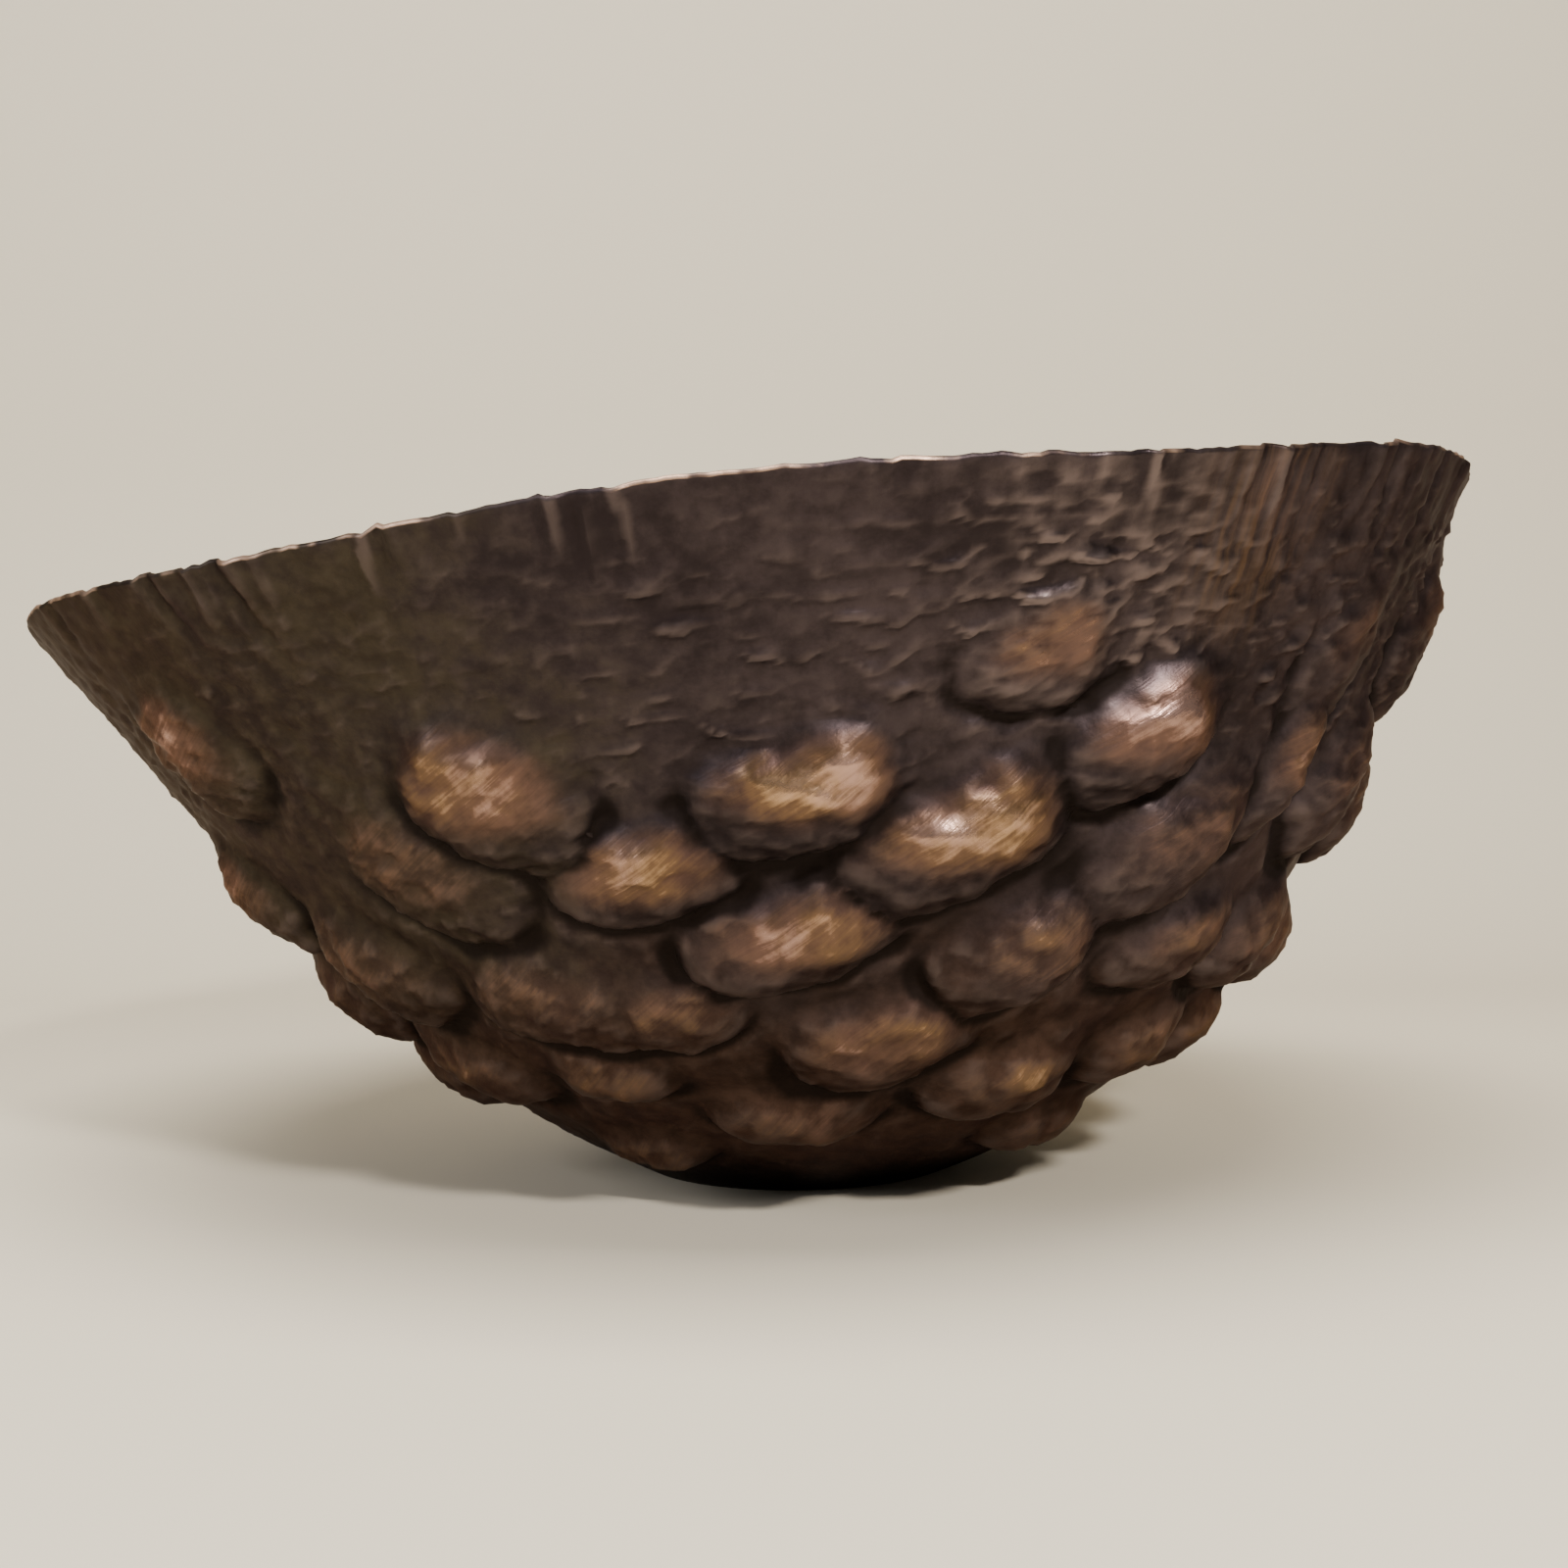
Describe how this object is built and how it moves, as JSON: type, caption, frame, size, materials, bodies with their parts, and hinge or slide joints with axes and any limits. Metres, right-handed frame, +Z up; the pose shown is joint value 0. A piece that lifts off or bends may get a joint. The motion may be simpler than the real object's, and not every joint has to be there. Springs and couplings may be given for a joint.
{
  "type": "hammered copper bowl",
  "caption": "Wide open bowl raised and hammered from one copper sheet, with pebble-like bosses and a plain, slightly wavy rim.",
  "frame": {"origin": "centre of the flat base, on the surface that the bowl stands on", "axes": "+Z up out of the bowl's mouth, +X towards the side where the rim is highest, -Y towards the bowl's front"},
  "size_m": [0.397, 0.3975, 0.1904],
  "materials": {
    "patinated_copper": "dark brown patina, hammered, crowns rubbed to bare copper"
  },
  "bodies": {
    "root": {"bowl_shell": "patinated_copper"}
  },
  "joints": []
}
